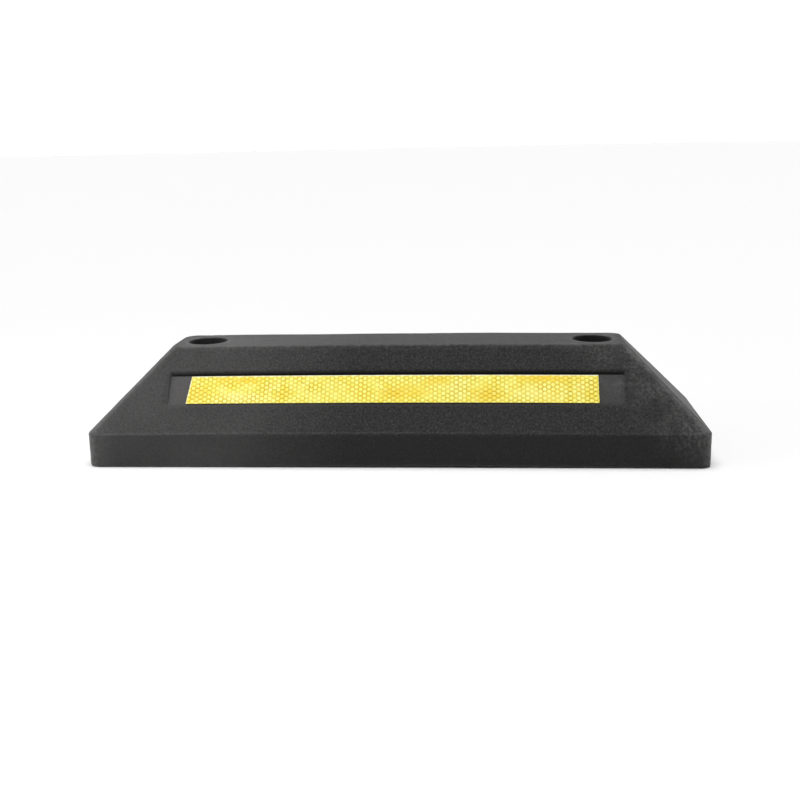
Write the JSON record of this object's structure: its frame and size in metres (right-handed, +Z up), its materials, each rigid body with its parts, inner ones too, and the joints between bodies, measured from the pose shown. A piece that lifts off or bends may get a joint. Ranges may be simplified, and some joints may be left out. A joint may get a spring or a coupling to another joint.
{
  "type": "rubber wheel stop",
  "caption": "Low rubber parking wheel stop with sloping sides, a recessed reflective strip on each long side, and sleeve anchors in its counterbored fixing holes.",
  "frame": {"origin": "centre of the underside, on the ground", "axes": "+X along the wheel stop's length, +Y across it from the front slope to the rear slope, +Z up from the ground"},
  "size_m": [0.55, 0.15, 0.1],
  "materials": {
    "rubber": "moulded black rubber, matt, worn lighter along its edges",
    "reflective_sheeting": "yellow honeycomb reflective sheeting",
    "zinc_plated_steel": "bright zinc plate"
  },
  "bodies": {
    "block": {"rubber_body": "rubber", "front_reflective_strip": "reflective_sheeting", "rear_reflective_strip": "reflective_sheeting"},
    "left_anchor": {"left_expansion_sleeve": "zinc_plated_steel", "left_flat_washer": "zinc_plated_steel", "left_spring_washer": "zinc_plated_steel"},
    "left_nut": {"left_hex_nut": "zinc_plated_steel"},
    "left_stud": {"left_anchor_stud": "zinc_plated_steel"},
    "right_anchor": {"right_expansion_sleeve": "zinc_plated_steel", "right_flat_washer": "zinc_plated_steel", "right_spring_washer": "zinc_plated_steel"},
    "right_nut": {"right_hex_nut": "zinc_plated_steel"},
    "right_stud": {"right_anchor_stud": "zinc_plated_steel"}
  },
  "joints": [
    {"name": "left_anchor_drive", "type": "slide", "parent": "block", "child": "left_anchor", "axis": [0, 0, -1], "range_m": [0, 0.0415]},
    {"name": "left_stud_draw", "type": "slide", "parent": "left_anchor", "child": "left_stud", "axis": [0, 0, 1], "range_m": [0, 0.0039]},
    {"name": "left_nut_turn", "type": "hinge", "parent": "left_anchor", "child": "left_nut", "pos_m": [-0.1775, 0, 0.0759], "axis": [0, 0, -1], "range_deg": [0, 940]},
    {"name": "right_anchor_drive", "type": "slide", "parent": "block", "child": "right_anchor", "axis": [0, 0, -1], "range_m": [0, 0.0415]},
    {"name": "right_stud_draw", "type": "slide", "parent": "right_anchor", "child": "right_stud", "axis": [0, 0, 1], "range_m": [0, 0.0039]},
    {"name": "right_nut_turn", "type": "hinge", "parent": "right_anchor", "child": "right_nut", "pos_m": [0.1775, 0, 0.0759], "axis": [0, 0, -1], "range_deg": [0, 940]}
  ],
  "couplings": [
    {"joint": "left_nut_turn", "follows": "left_stud_draw", "rad_per_m": 4188.8},
    {"joint": "right_nut_turn", "follows": "right_stud_draw", "rad_per_m": 4188.8}
  ]
}
